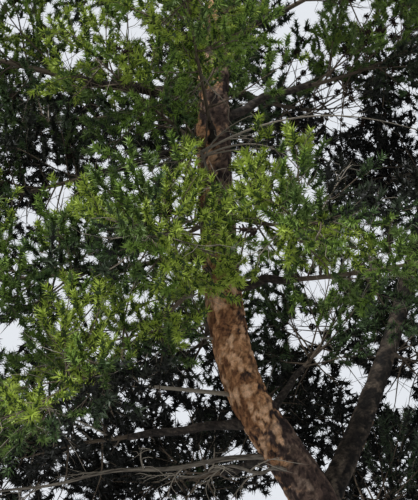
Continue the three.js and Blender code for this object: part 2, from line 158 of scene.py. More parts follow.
# The fork's second stem, then the masses on it: share of the way up, azimuth, rise, size
fork = {"foot": 2960, "azimuth": 39, "rise": 54, "swing": -4, "bend": 27, "length": 6400,
        "radius": 100, "tipRadius": 30, "massRadius": 26}
forkMasses = {
    "fork_low": (0.3, 62, 8, (2200, 1000, 930), 0.9, -0.1),
    "fork_right": (0.56, 356, 14, (2400, 1030, 930), 1.1, -0.16),
    "fork_back": (0.72, 105, 14, (2200, 990, 930), 1.2),
    "fork_front": (0.8, 290, 16, (2000, 970, 900), 1, -0.26),
    "fork_top": (1, 35, 81, (1500, 900, 1140), 0.6),
}

# A mass straight on the trunk: foot height, azimuth, rise, radius, size
trunkMasses = {
    "shoulder_left": (6200, 226, 6, 26, (2000, 860, 800), 1.4),
    "shoulder_back": (6950, 92, 8, 28, (2300, 1000, 900)),
}

# Masses that turn round the top of the trunk, and the leading shoot
top = {"lowest": 8900, "step": 530, "azimuth": 318, "rise": (16, 24), "length": (2700, 1300),
       "shortening": 1.3, "halfWidth": 0.42, "radius": (30, 16),
       "cover": (0.75, 0.75, 0.75, 0.7, 0.65, 0.65, 0.65)}
leader = {"azimuth": 2, "rise": 87.8, "radius": 15, "mass": (1050, 620, 840), "cover": 0.7}


# Small helpers

def mix(a, b, share):
    return a + (b - a) * share


def unit(v):
    return v / np.linalg.norm(v, axis=-1, keepdims=True)


def column(values):
    return np.atleast_1d(np.asarray(values, dtype=float))[:, None]


def heading(azimuth, rise):
    a, r = math.radians(azimuth), math.radians(rise)
    return np.array((math.cos(r) * math.cos(a), math.cos(r) * math.sin(a), math.sin(r)))


def linear(hexColour):
    # an sRGB hex value as the linear colour that a shader socket takes
    parts = [int(hexColour[i:i + 2], 16) / 255 for i in (1, 3, 5)]
    return tuple(c / 12.92 if c <= 0.04045 else ((c + 0.055) / 1.055) ** 2.4 for c in parts) + (1.0,)


def seeded(seed):
    # the same repeatable draws from 0 to 1 as the solids grow by
    state = seed & 0xFFFFFFFF

    def draw():
        nonlocal state
        state = (state + 0x6D2B79F5) & 0xFFFFFFFF
        t = ((state ^ (state >> 15)) * (state | 1)) & 0xFFFFFFFF
        t = ((t + (((t ^ (t >> 7)) * (t | 61)) & 0xFFFFFFFF)) & 0xFFFFFFFF) ^ t
        return ((t ^ (t >> 14)) & 0xFFFFFFFF) / 4294967296

    return draw


def ringOf(count):
    # the corners of a flat ring with a radius of one
    turns = np.arange(count) * 2 * math.pi / count
    return np.stack([np.cos(turns), np.sin(turns), np.zeros(count)], axis=1)


def ringsRound(ahead, side, count):
    # such a ring square to each heading, begun at its side
    x, y = ringOf(count)[:, :2].T[..., None]
    return side[:, None] * x + np.cross(ahead, side)[:, None] * y


def wallsOf(rings, sides, first=0):
    # the corners' numbers by ring, those next to them round the ring, and the faces between the rings
    index = first + np.arange(rings * sides).reshape(rings, sides)
    turned = np.roll(index, -1, axis=1)
    quads = np.stack([index[:-1], turned[:-1], turned[1:], index[1:]], axis=-1).reshape(-1, 4)
    return index, turned, quads


def fanOf(ring, after, point):
    # triangles from each side of a ring to one point
    return np.stack([ring, after, np.full(len(ring), point)], axis=1)


def addNode(tree, kind, links=None, **settings):
    # one node with its settings, and each input given a value, or the socket or node that feeds it
    node = tree.nodes.new(kind)
    for key, value in settings.items():
        setattr(node, key, value)
    for key, value in (links or {}).items():
        if isinstance(value, bpy.types.Node):
            value = value.outputs[0]
        if isinstance(value, bpy.types.NodeSocket):
            tree.links.new(value, node.inputs[key])
        else:
            node.inputs[key].default_value = value
    return node


def storeOn(piece, name, values):
    # a number or a direction for each point of the mesh
    values = np.asarray(values, dtype=np.float32)
    kind, key = ("FLOAT", "value") if values.ndim == 1 else ("FLOAT_VECTOR", "vector")
    piece.data.attributes.new(name, kind, "POINT").data.foreach_set(key, values.ravel())


def intoScene(name, data):
    thing = bpy.data.objects.new(name, data)
    bpy.context.scene.collection.objects.link(thing)
    return thing


def addMesh(name, points, quads=(), triangles=(), smooth=True):
    faces = [row for rows in (quads, triangles) for row in np.asarray(rows).tolist()]
    mesh = bpy.data.meshes.new(name)
    mesh.from_pydata(points, [], faces)
    mesh.polygons.foreach_set("use_smooth", [smooth] * len(faces))
    return intoScene(name, mesh)


def settle(piece, nodes, slotName, finish=None):
    # the piece stands for these solids, which it hides, and takes the given finish if there is one;
    # slotName is not used
    if finish:
        piece.data.materials.append(finish)
    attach(piece, "root")
    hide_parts(*nodes)


def runTree(piece, tree, values):
    # gives the modifier its inputs by identifier, and leaves a plain mesh
    modifier = piece.modifiers.new(tree.name, "NODES")
    modifier.node_group = tree
    for item in tree.interface.items_tree:
        if item.item_type == "SOCKET" and item.in_out == "INPUT" and item.name in values:
            modifier[item.identifier] = values[item.name]
    piece.update_tag()
    bpy.context.view_layer.update()
    depsgraph = bpy.context.evaluated_depsgraph_get()
    made = bpy.data.meshes.new_from_object(piece.evaluated_get(depsgraph), depsgraph=depsgraph)
    piece.modifiers.remove(modifier)
    old = piece.data
    piece.data = made
    made.name = piece.name
    bpy.data.meshes.remove(old)


def newTree(name, inputs):
    tree = bpy.data.node_groups.new(name, "GeometryNodeTree")
    tree.interface.new_socket(name="Geometry", in_out="INPUT", socket_type="NodeSocketGeometry")
    for label, kind in inputs.items():
        tree.interface.new_socket(name=label, in_out="INPUT", socket_type="NodeSocket" + kind)
    tree.interface.new_socket(name="Geometry", in_out="OUTPUT", socket_type="NodeSocketGeometry")
    return tree, addNode(tree, "NodeGroupInput").outputs


def endTree(tree, geometry, finish):
    # every tree ends in real faces with one finish
    real = addNode(tree, "GeometryNodeRealizeInstances", {"Geometry": geometry})
    coated = addNode(tree, "GeometryNodeSetMaterial", {"Geometry": real.outputs[0], "Material": finish})
    addNode(tree, "NodeGroupOutput", {0: coated.outputs[0]})


# Camera, floor and light

def addCamera():
    data = bpy.data.cameras.new("camera")
    data.sensor_width = cameraView["sensor"]
    data.lens = cameraView["lens"]
    data.clip_end = 200
    camera = intoScene("camera", data)
    camera.location = cameraView["place"]
    camera.rotation_euler = (math.radians(90 + cameraView["pitch"]), 0, 0)
    bpy.context.scene.camera = camera


def addStudio():
    world = bpy.data.worlds.new("pale studio")
    world.use_nodes = True
    tree = world.node_tree
    backdrop = tree.nodes["Background"]
    backdrop.inputs["Color"].default_value = linear(studio["sky"])
    seen = addNode(tree, "ShaderNodeLightPath").outputs["Is Camera Ray"]
    brightness = addNode(tree, "ShaderNodeMapRange", {
        "Value": seen, "To Min": studio["fillStrength"], "To Max": studio["skyStrength"],
    })
    tree.links.new(brightness.outputs[0], backdrop.inputs["Strength"])
    bpy.context.scene.view_settings.view_transform = "Standard"
    bpy.context.scene.world = world

    corners = studio["floorCorners"]
    points = np.vstack([ringOf(corners) * studio["floorRadius"], [(0, 0, 0)]]) - (0, 0, 2 * mm)
    (ring,), (after,), _ = wallsOf(1, corners)
    floor = addMesh("floor", points, triangles=fanOf(ring, after, corners), smooth=False)
    floor.data.materials.append(plainFinish("matt floor paint", studio["floor"], 0.9))

    key = bpy.data.lights.new("key light", "SUN")
    key.energy = studio["keyStrength"]
    key.angle = math.radians(studio["keySoftness"])
    lamp = intoScene("key light", key)
    lamp.rotation_euler = (math.radians(90 - studio["keyHeight"]), 0, math.radians(studio["keyTurn"]))


# Finishes. Each starts from the real stuff, and its pattern's sizes are in metres

def newFinish(name, roughness, shine):
    finish = bpy.data.materials.new(name)
    finish.use_nodes = True
    shader = finish.node_tree.nodes["Principled BSDF"]
    shader.inputs["Roughness"].default_value = roughness
    shader.inputs["Specular IOR Level"].default_value = shine
    return finish, finish.node_tree, shader


def plainFinish(name, hexColour, roughness, shine=0.5):
    finish, _, shader = newFinish(name, roughness, shine)
    shader.inputs["Base Color"].default_value = linear(hexColour)
    return finish


def setColours(band, low, high, colours):
    # colours from dark to light at even places between two limits
    elements = band.color_ramp.elements
    while len(elements) < len(colours):
        elements.new(0.5)
    for i, (element, hexColour) in enumerate(zip(elements, colours)):
        element.position = mix(low, high, i / (len(colours) - 1))
        element.color = linear(hexColour)


def scalyBark(name, look):
    # Pine bark: thin papery flakes, tan where fresh ones show and gray-brown where weathered, matt,
    # with darker seams. More weathered bark on the side away from the key light, and darker bark outside
    # the warm stretch, are painted shade. The relief stores how deep a point lies (seam) and its flake's
    # tone.
    finish, tree, shader = newFinish(name, look["roughness"], 0.25)
    place = addNode(tree, "ShaderNodeAttribute", attribute_name="barkPlace").outputs["Vector"]
    tone, warm, seam = (
        addNode(tree, "ShaderNodeAttribute", attribute_name=label).outputs["Fac"]
        for label in ("tone", "warmth", "seam")
    )
    flake, patch, speck = (
        addNode(tree, "ShaderNodeTexNoise", {
            "Vector": place, "Scale": scale, "Detail": detail, "Roughness": 0.65, "Distortion": distortion,
        })
        for scale, detail, distortion in (
            (look["flakes"], 5.0, 1.2), (look["patches"], 4.0, 0.6), (80.0, 3.0, 0.0),
        )
    )
    # each flake has its own tone, mottled a little
    mottled = addNode(tree, "ShaderNodeMath", {0: flake, 1: 0.75, 2: 0.0}, operation="MULTIPLY_ADD")
    shifted = addNode(tree, "ShaderNodeMath", {0: tone, 1: 0.4, 2: mottled}, operation="MULTIPLY_ADD")
    fresh = addNode(tree, "ShaderNodeValToRGB", {"Fac": shifted})
    weathered = addNode(tree, "ShaderNodeValToRGB", {"Fac": shifted})
    setColours(fresh, *look["fresh"])
    setColours(weathered, *look["weathered"])
    # fresh bark shows in patches of the warm stretch, and less on the side that faces +X, away from the key
    # light, where more weathered bark is painted shade
    paintedShadeSide = addNode(tree, "ShaderNodeSeparateXYZ", {0: place})
    spread = -2.15
    for value, factor in (
        (patch, 2.0), (paintedShadeSide, -look["paintedShadeSide"]), (warm, look["warmShare"]), (tone, 0.7), (flake, 0.8),
    ):
        spread = addNode(tree, "ShaderNodeMath", {0: value, 1: factor, 2: spread}, operation="MULTIPLY_ADD")
    share = addNode(tree, "ShaderNodeMapRange", {"Value": spread, "From Max": 0.36})
    colour = addNode(tree, "ShaderNodeMix", {"Factor": share, 6: weathered, 7: fresh}, data_type="RGBA")
    # fine specks, darker seams, and painted shade that darkens the bark where it isn't warm
    specks = addNode(tree, "ShaderNodeMapRange", {
        "Value": speck, "From Min": 0.3, "From Max": 0.7, "To Min": 0.72, "To Max": 1.2,
    })
    depth = addNode(tree, "ShaderNodeMapRange", {"Value": seam, "To Min": 1.0, "To Max": look["seamShade"]})
    paintedShadeByWarmth = addNode(tree, "ShaderNodeMath", {0: warm, 1: 0.14, 2: 0.86}, operation="MULTIPLY_ADD")
    shade = addNode(tree, "ShaderNodeMath", {0: specks, 1: depth}, operation="MULTIPLY")
    lit = addNode(tree, "ShaderNodeMath", {0: shade, 1: paintedShadeByWarmth}, operation="MULTIPLY")
    coat = addNode(tree, "ShaderNodeVectorMath", {0: colour.outputs[2], "Scale": lit}, operation="SCALE")
    bump = addNode(tree, "ShaderNodeBump", {"Height": flake, "Strength": 0.7, "Distance": 4 * mm})
    tree.links.new(coat.outputs[0], shader.inputs["Base Color"])
    tree.links.new(bump.outputs[0], shader.inputs["Normal"])
    return finish


def weatheredWood(name, light, dark, grain):
    # Barkless or thinly barked wood: silver gray, dry and matt. Limbs have darker cracks along the grain,
    # and twigs and cones, which hold no place on their bark, have one even tone.
    finish, tree, shader = newFinish(name, 0.88, 0.2)
    place = addNode(tree, "ShaderNodeAttribute", attribute_name="barkPlace").outputs["Vector"]
    along = addNode(tree, "ShaderNodeMapping", {"Vector": place, "Scale": (1 / grain, 1 / grain, 9)})
    streak = addNode(tree, "ShaderNodeTexNoise", {"Vector": along, "Scale": 1.0, "Detail": 5.0})
    colour = addNode(tree, "ShaderNodeValToRGB", {"Fac": streak})
    setColours(colour, 0.36, 0.62, (dark, light))
    bump = addNode(tree, "ShaderNodeBump", {"Height": streak, "Strength": 0.6, "Distance": grain * 0.3})
    tree.links.new(colour.outputs[0], shader.inputs["Base Color"])
    tree.links.new(bump.outputs[0], shader.inputs["Normal"])
    return finish


def needleFinish(name, hexColour):
    # Pine needles: waxy green blades with a low sheen. One tint to a spray, painted lighter or darker for
    # the light on it, so the colour is plain
    return plainFinish(name, hexColour, 0.5, 0.3)


# The limbs' own geometry

def trunkAt(height):
    # axis points and radii at heights in millimetres, by the cubic through the stations
    rows = np.array(trunkStations, dtype=float)
    height = np.atleast_1d(np.asarray(height, dtype=float))
    i = np.clip(np.searchsorted(rows[:, 0], height, side="left") - 1, 0, len(rows) - 2)
    span = rows[i + 1, 0] - rows[i, 0]
    u = ((height - rows[i, 0]) / span)[:, None]
    low = np.maximum(np.arange(len(rows)) - 1, 0)
    high = np.minimum(np.arange(len(rows)) + 1, len(rows) - 1)
    slopes = (rows[high, 1:] - rows[low, 1:]) / (rows[high, 0] - rows[low, 0])[:, None]
    values = (
        rows[i, 1:] * (1 + 2 * u) * (1 - u) ** 2
        + rows[i + 1, 1:] * u * u * (3 - 2 * u)
        + slopes[i] * span[:, None] * u * (1 - u) ** 2
        - slopes[i + 1] * span[:, None] * u * u * (1 - u)
    )
    return np.column_stack([values[:, 0], values[:, 1], height]) * mm, values[:, 2] * mm


def trunkPoint(height):
    return trunkAt(height)[0][0]


def limbCurve(start, azimuth, rise, swing, bend, length):
    # leaves a point at one slope and has turned to another by its end
    knee = start + heading(azimuth, rise) * length * mm / 2
    return start, knee, knee + heading(azimuth + swing, rise + bend) * length * mm / 2


def along(curve, t):
    t = column(t)
    a, b, c = curve
    return a * (1 - t) ** 2 + b * 2 * t * (1 - t) + c * t * t


def pathOf(curve, count, first=0, last=1):
    return along(curve, np.linspace(first, last, count))


def headingOn(curve, t):
    t = column(t)
    a, b, c = curve
    return unit((b - a) * (1 - t) + (c - b) * t)


def limbOf(curve, foot, tip, waver=0):
    return {"curve": curve, "foot": foot * mm, "tip": tip * mm, "waver": waver * mm}


def limbFrom(foot, azimuth, rise, swing, bend, length, radius, tip, waver=0):
    return limbOf(limbCurve(trunkPoint(foot), azimuth, rise, swing, bend, length), radius, tip, waver)


def limbLine(limb, t):
    # a real limb wavers to both sides of its curve, and lies on it at both ends
    t = column(t)
    ahead = unit(limb["curve"][2] - limb["curve"][0])
    side = unit(np.cross(ahead, skew))
    phase = 7 * limb["curve"][1][0]
    swing = limb["waver"] * np.sin(math.pi * t)
    return (along(limb["curve"], t[:, 0]) + side * swing * np.sin(9 * t + phase)
            + np.cross(ahead, side) * swing * np.cos(13 * t + phase))


def radiusOn(limb, t):
    return mix(limb["foot"], limb["tip"], np.asarray(t, dtype=float) ** taper["power"])


def tubeMesh(name, centres, radii, sides, across, lobes=None):
    # a closed tube of rings on a line; radii may hold one number to a ring or one to a point
    ahead = unit(np.gradient(centres, axis=0))
    side = unit(across - ahead * (ahead @ across)[:, None])
    turns = np.arange(sides) * 2 * math.pi / sides
    radii = radii[:, None] * (np.ones(sides) if lobes is None else lobes(turns, centres[:, 2]))
    rings = (centres[:, None] + ringsRound(ahead, side, sides) * radii[:, :, None]).reshape(-1, 3)
    points = np.vstack([rings, centres[:1], centres[-1:]])
    index, turned, quads = wallsOf(len(centres), sides)
    foot = fanOf(turned[0], index[0], len(rings))
    tip = fanOf(index[-1], turned[-1], len(rings) + 1)
    piece = addMesh(name, points, quads, np.vstack([foot, tip]))

    # where a point lies on the bark: round the limb, and along it
    run = np.concatenate([[0], np.cumsum(np.linalg.norm(np.diff(centres, axis=0), axis=1))])
    place = np.stack([
        np.cos(turns)[None] * radii, np.sin(turns)[None] * radii, np.repeat(run[:, None], sides, axis=1),
    ], axis=-1).reshape(-1, 3)
    storeOn(piece, "barkPlace", np.vstack([place, [(0, 0, 0)], [(0, 0, run[-1])]]))
    return piece


# Bark relief: scales parted by seams, each lifted by its own height, over broad low swellings
def barkReliefTree():
    tree, given = newTree("bark relief", {
        "Scale width": "Float", "Scale length": "Float", "Relief": "Float", "Swelling": "Float",
        "Seam": "Float", "Warm from": "Float", "Warm to": "Float", "Warmth above": "Float",
        "Finish": "Material",
    })
    place = addNode(tree, "GeometryNodeInputNamedAttribute", {"Name": "barkPlace"},
                    data_type="FLOAT_VECTOR")
    broad = addNode(tree, "ShaderNodeTexNoise", {"Vector": place, "Scale": 7.0, "Detail": 3.0})
    ragged = addNode(tree, "ShaderNodeTexNoise", {"Vector": place, "Scale": 24.0, "Detail": 3.0})
    # both noises bend the rows of scales
    bent = place
    for noise, sway in ((broad, 0.16), (ragged, 0.05)):
        shift = addNode(tree, "ShaderNodeVectorMath", {0: noise.outputs["Color"], "Scale": sway},
                        operation="SCALE")
        bent = addNode(tree, "ShaderNodeVectorMath", {0: bent, 1: shift}, operation="ADD")
    size = addNode(tree, "ShaderNodeCombineXYZ", {"X": given["Scale width"], "Y": given["Scale width"],
                                                  "Z": given["Scale length"]})
    cells = {"Vector": addNode(tree, "ShaderNodeVectorMath", {0: bent, 1: size}, operation="DIVIDE"),
             "Scale": 1.0}
    edge = addNode(tree, "ShaderNodeTexVoronoi", cells, feature="DISTANCE_TO_EDGE").outputs["Distance"]
    scale = addNode(tree, "ShaderNodeTexVoronoi", cells, feature="F1").outputs["Color"]
    tone = addNode(tree, "ShaderNodeSeparateXYZ", {0: scale})
    seam = addNode(tree, "ShaderNodeMapRange", {
        "Value": edge, "From Max": given["Seam"], "To Min": 1.0, "To Max": 0.0,
    })
    lifted = addNode(tree, "ShaderNodeMath", {0: tone, 1: 0.7, 2: 0.3}, operation="MULTIPLY_ADD")
    sunk = addNode(tree, "ShaderNodeMath", {0: lifted, 1: seam}, operation="SUBTRACT")
    raised = addNode(tree, "ShaderNodeMath", {0: sunk, 1: given["Relief"]}, operation="MULTIPLY")
    swell = addNode(tree, "ShaderNodeMath", {0: broad, 1: given["Swelling"], 2: raised},
                    operation="MULTIPLY_ADD")
    normal = addNode(tree, "GeometryNodeInputNormal")
    offset = addNode(tree, "ShaderNodeVectorMath", {0: normal, "Scale": swell}, operation="SCALE")
    # the warm stretch of a trunk lies between two heights, with soft ends, and part of it goes on up
    run = addNode(tree, "ShaderNodeSeparateXYZ", {0: place}).outputs["Z"]
    rising = addNode(tree, "ShaderNodeMath", {0: run, 1: given["Warm from"]}, operation="SUBTRACT")
    falling = addNode(tree, "ShaderNodeMath", {0: given["Warm to"], 1: run}, operation="SUBTRACT")
    inside = addNode(tree, "ShaderNodeMath", {0: rising, 1: falling}, operation="MINIMUM")
    softEnds = {"From Min": -0.35, "From Max": 0.35}
    stretch = addNode(tree, "ShaderNodeMapRange", {"Value": inside, **softEnds})
    lasting = addNode(tree, "ShaderNodeMapRange", {
        "Value": rising, **softEnds, "To Max": given["Warmth above"],
    })
    warmth = addNode(tree, "ShaderNodeMath", {0: stretch, 1: lasting}, operation="MAXIMUM")
    geometry = given["Geometry"]
    for name, value in (("seam", seam), ("tone", tone), ("warmth", warmth)):
        geometry = addNode(tree, "GeometryNodeStoreNamedAttribute",
                           {"Geometry": geometry, "Name": name, "Value": value})
    moved = addNode(tree, "GeometryNodeSetPosition", {"Geometry": geometry, "Offset": offset})
    endTree(tree, moved.outputs[0], given["Finish"])
    return tree


trunkBark = {"scaleWidth": 54, "scaleLength": 104, "relief": 9, "swelling": 16, "seam": 0.14,
             "sides": 66, "ring": 17, "coarseRing": 36, "coarseFrom": 8600}
# The heights between which the trunk's bark is warm, in metres along it, and the share that goes on up
warmStretch = (3.75, 5.3, 0.38)
forkBark = {"sides": 34, "ring": 19, "start": 0.012}
boughBarkSizes = {"scaleWidth": 16, "scaleLength": 34, "relief": 3, "swelling": 6, "seam": 0.18,
                  "sides": 17, "ring": 24, "collar": 0.5, "collarReach": 90, "start": 0.06}


def coatBark(piece, sizes, finish, warm=(0.0, 0.0, 0.0)):
    runTree(piece, barkTree, {
        "Scale width": sizes["scaleWidth"] * mm, "Scale length": sizes["scaleLength"] * mm,
        "Relief": sizes["relief"] * mm, "Swelling": sizes["swelling"] * mm, "Seam": sizes["seam"],
        "Warm from": warm[0], "Warm to": warm[1], "Warmth above": warm[2],
        "Finish": finish,
    })


def addTrunk():
    b = trunkBark
    lastHeight = trunkStations[-1][0]
    heights = np.concatenate([np.arange(0, b["coarseFrom"], b["ring"]),
                              np.arange(b["coarseFrom"], lastHeight, b["coarseRing"]), [lastHeight]])
    centres, radii = trunkAt(heights)

    def rootLobes(turns, z):
        spread = flare["share"] * np.exp(-z / (flare["height"] * mm))
        lobes = np.cos(flare["lobes"] * turns + flare["turn"])
        return 1 + spread[:, None] * (1 + flare["lobeDepth"] * lobes)

    piece = tubeMesh("trunk_bark", centres, radii, b["sides"], np.array((1.0, 0, 0)), rootLobes)
    coatBark(piece, b, barkFinish, warmStretch)
    flattenFoot(piece)
    settle(piece, ["trunk"], "bark")


def flattenFoot(piece):
    # the cut under the trunk stays flat on the ground
    points = np.empty(len(piece.data.vertices) * 3, dtype=np.float32)
    piece.data.vertices.foreach_get("co", points)
    points = points.reshape(-1, 3)
    points[:trunkBark["sides"], 2] = 0
    points[:, 2] = np.maximum(points[:, 2], 0)
    piece.data.vertices.foreach_set("co", points.ravel())
    piece.data.update()


def limbMesh(name, limb, sides, ring, start=0.0, collar=None):
    length = np.linalg.norm(np.diff(limbLine(limb, np.linspace(0, 1, 30)), axis=0), axis=1).sum()
    t = np.linspace(start, 1, max(int(length * (1 - start) / (ring * mm)), 6))
    isUpright = limb["curve"][1][2] - limb["curve"][0][2] > 0.45 * length
    radii = radiusOn(limb, t)
    if collar:
        share, reach, hidden = collar
        radii = radii * (1 + share * np.exp(-np.maximum(t * length - hidden, 0) / (reach * mm)))
    return tubeMesh(name, limbLine(limb, t), radii, sides, np.array((1.0, 0, 0)) if isUpright else up)


def addForkStem():
    piece = limbMesh("fork_bark", forkLimb, **forkBark)
    coatBark(piece, trunkBark, forkFinish)
    settle(piece, ["fork_stem"], "bark")


def addBoughs():
    b = boughBarkSizes
    for name, limb in boughLimbs.items():
        hidden = trunkAt(boughs[name][0])[1][0]
        piece = limbMesh("bark_" + name, limb, b["sides"], b["ring"], b["start"],
                         (b["collar"], b["collarReach"], hidden))
        coatBark(piece, b, boughFinish)
        settle(piece, ["bough_" + name], "bough_bark")


# Every living limb and mass is planned before any is grown

forkLimb = limbFrom(*(fork[k] for k in (
    "foot", "azimuth", "rise", "swing", "bend", "length", "radius", "tipRadius")))
boughLimbs = {}
masses = []


def planMass(name, root, azimuth, rise, size, radius, cover=1, light=0, seam=clearance):
    shape = massShape
    start = root + heading(azimuth, rise) * seam * mm
    lift = shape["lift"] if rise < shape["steep"] else 0
    curve = limbCurve(start, azimuth, rise, 0, lift, size[0] * shape["stem"])
    ahead = unit(curve[2] - curve[0])
    across = heading(azimuth + 90, 0)
    across = unit(across - ahead * (across @ ahead))
    masses.append({
        "name": name,
        "stem": limbOf(curve, radius, max(radius * taper["stem"], shape["thinnest"])),
        "centre": mix(curve[0], curve[2], shape["centre"]),
        "axes": np.array([ahead, across, np.cross(ahead, across)]),
        "halves": np.array((size[0] * shape["half"], size[1], size[2])) * mm,
        "cover": cover,
        "light": light,
    })


def planTree():
    for name, (at, azimuth, rise, size, *look) in forkMasses.items():
        seam, radius = (clearance, fork["tipRadius"]) if at == 1 else (0, fork["massRadius"])
        planMass(name, along(forkLimb["curve"], at)[0], azimuth, rise, size, radius, *look, seam=seam)
    for name, (foot, azimuth, rise, swing, bend, length, radius, size, *look) in boughs.items():
        tip = radius * taper["bough"]
        limb = limbFrom(foot, azimuth, rise, swing, bend, length, radius, tip, radius * taper["waver"])
        boughLimbs[name] = limb
        if name in shownBoughs:
            shownPaths.append(limbLine(limb, np.linspace(*shownBoughs[name], 20)))
        planMass(name, limb["curve"][2], azimuth + swing, rise + bend, size, tip, *look)
    for i, cover in enumerate(top["cover"]):
        share = i / (len(top["cover"]) - 1)
        length = mix(*top["length"], share ** top["shortening"])
        half = length * top["halfWidth"]
        planMass(f"top_{i + 1}", trunkPoint(top["lowest"] + top["step"] * i),
                 top["azimuth"] + math.degrees(goldenTurn) * i, mix(*top["rise"], share),
                 (length, half, half), mix(*top["radius"], share), cover, seam=0)
    planMass("leader", trunkPoint(trunkStations[-1][0]), leader["azimuth"], leader["rise"],
             leader["mass"], leader["radius"], leader["cover"], seam=2 * clearance)
    for name, (foot, azimuth, rise, radius, size, *look) in trunkMasses.items():
        planMass(name, trunkPoint(foot), azimuth, rise, size, radius, *look, seam=0)


# Twigs are three-sided, closed, and pointed at the tip, and gather in one list for each finish

twigLists = {"live": [], "bare": []}


def addTwig(kind, path, foot, tip):
    twigLists[kind].append((path, np.linspace(foot, tip, len(path)) * mm))


def crooked(start, ahead, length, rise, wiggle, count, draw):
    # a twig's path: it lifts towards its tip and wavers to both sides
    s = np.linspace(0, 1, count)[:, None]
    side = unit(np.cross(ahead, up) + 1e-6)
    phase = draw() * 2 * math.pi
    waver = (np.sin(s * 5.2 + phase) - math.sin(phase)) * wiggle * length
    bow = np.cross(ahead, side) * (np.cos(s * 4.1 + phase) - math.cos(phase)) * wiggle * length * 0.6
    return start + ahead * length * s + up * rise * length * s * s + side * waver + bow


def twigMesh(name, rows, sides=3):
    points, triangles, first = [], [], 0
    for path, radii in rows:
        ahead = unit(np.gradient(path, axis=0))
        rings = ringsRound(ahead, unit(np.cross(ahead, skew)), sides)[:-1] * radii[:-1, None, None]
        points.append(np.vstack([(path[:-1, None] + rings).reshape(-1, 3), path[-1:]]))
        index, turned, quads = wallsOf(len(path) - 1, sides, first)
        point = first + index.size
        tip = fanOf(index[-1], turned[-1], point)
        triangles.extend([quads[:, :3], quads[:, (0, 2, 3)], tip, index[0, ::-1][None, :3]])
        first = point + 1
    return addMesh(name, np.vstack(points), triangles=np.vstack(triangles))


# Growth in a mass: twigs to both sides of the stem by the solids' rule and draws, and more between them.
# Lengths in millimetres, angles in degrees, spans as shares of the stem.
growth = {
    "seed": 977, "seedStep": 131, "spread": (50, 62), "liftChance": 8, "overlap": 0.14,
    "mainTwigs": 7, "mainSpan": (0.1, 0.88), "mainLifts": (42, 42, -30, -30),
    "moreTwigs": 9.0, "moreSpan": (0.04, 0.97), "moreLifts": (6, 6, 68, 68, -56, -56, 22, -14),
    "twigRoot": 11, "twigTip": 3.5, "deadTip": 2, "rootShare": 0.62, "twigReach": 0.93, "wallGap": 100,
    "twigRise": (-0.02, 0.12), "twigWaver": 0.035, "shortest": 160, "twigClear": 20,
    "deadShare": 0.12, "deadTwiglets": 5, "wornTwiglets": 3,
}
# Twiglets round each twig, from where its bare part ends
twigletGrowth = {
    "span": (0.22, 0.97), "gap": 76, "length": (380, 190), "lengthChance": (0.75, 1.2), "angle": (38, 62),
    "lift": 0.22, "rise": 0.12, "waver": 0.05, "root": 3.2, "tip": 1.6, "lightChance": 0.05,
}
# Tufts on each twiglet and at each twig's tip. They reach back over the wood, and are tried for room at
# their middles and tips.
tuftGrowth = {
    "gap": 96, "lean": 16, "clear": 45, "back": 50, "middle": 80, "reach": 180, "size": (0.84, 1.06),
    "endSize": (0.92, 1.14), "endLift": 0.25, "lift": 0.1, "twigEndSize": 1.1, "twigEndLift": 0.2,
}
# Twiglets that have lost their needles, crooked and gray: how far they turn out and up, their length, how
# they hang, and their radii
wornTwiglet = {"out": (0.4, 1.2), "lift": (-0.8, 0.4), "length": (140, 420), "rise": -0.12, "waver": 0.09,
               "root": 3.6, "tip": 1.3}
# A mass whose stem heads to the viewer more than this has it clothed, and one whose centre is this near,
# in metres, has worn twiglets on its live twigs too
endOn = -0.6
nearSide = -0.9
# What lies this far ahead of the trunk's axis at this height is before the bark
barkFront = {"height": 5500, "ahead": 150}
# The chance of a cone on a twig, and where a mass has many, and how cones sit on the wood
coneGrowth = {"share": 0.12, "manyShare": 0.75, "paired": 0.4, "lift": (-0.6, 0.3), "back": 0.3,
              "standOff": 6, "size": (0.85, 1.15)}
conedMasses = ("upper_right", "upper_left", "fork_top", "fork_front", "high_right", "back_right", "left")
# Needle tints, from painted light down to painted deep shade, dealt out by the light each spray is given
tints = ("sunlit", "fresh", "olive", "mid", "deep", "shade", "gloom")
litTints = tints[:4]
tintLight = (0.6, 0.47, 0.34, 0.21, 0.08, -0.05)  # the least light for each tint but the last
tufts = {tint: [] for tint in tints}  # place, ahead, size
cones = []


def limbSamples():
    # points and radii down every limb, for the foliage to keep clear of
    rows = [np.column_stack(trunkAt(np.arange(0, trunkStations[-1][0], 70)))]
    for limb in [forkLimb, *boughLimbs.values()]:
        t = np.linspace(0, 1, 40)
        rows.append(np.column_stack([limbLine(limb, t), radiusOn(limb, t)]))
    for path, radii in twigLists["bare"]:
        rows.append(np.column_stack([path, radii]))
    return np.vstack(rows)


def gapTo(points, samples):
    # the least distance from each point to the limbs' bark
    away = np.linalg.norm(points[:, None] - samples[None, :, :3], axis=2) - samples[None, :, 3]
    return away.min(axis=1)


def depthIn(mass, points):
    return np.linalg.norm(((points - mass["centre"]) @ mass["axes"].T) / mass["halves"], axis=1)


def roomAlong(mass, point, direction):
    p = (mass["axes"] @ (point - mass["centre"])) / mass["halves"]
    d = (mass["axes"] @ direction) / mass["halves"]
    root = (p @ d) ** 2 - (d @ d) * (p @ p - 1)
    return (math.sqrt(root) - p @ d) / (d @ d) if root > 0 else 0


def ownSpace(mass, points):
    # inside this mass, and not far into another
    own = depthIn(mass, points)
    others = np.min([depthIn(m, points) for m in masses if m is not mass], axis=0)
    return (own < 1.0) & (others > own - growth["overlap"])


def sideAt(forward, turn):
    # a direction square to a heading, by its turn round it
    side = unit(np.cross(forward, skew))
    return side * math.cos(turn) + np.cross(forward, side) * math.sin(turn)


def leaning(forward, turn, angle, lift):
    # leans out from a heading to the side of that turn, and lifts a little
    return unit(forward * math.cos(angle) + sideAt(forward, turn) * math.sin(angle) + up * lift)


def sidewards(forward, k):
    # level, and to the left or right of a heading by turns
    return unit(np.cross(forward, up)) * (1 if k % 2 else -1)


def inBox(points):
    return np.all((points > solidBox[0]) & (points < solidBox[1]), axis=1)


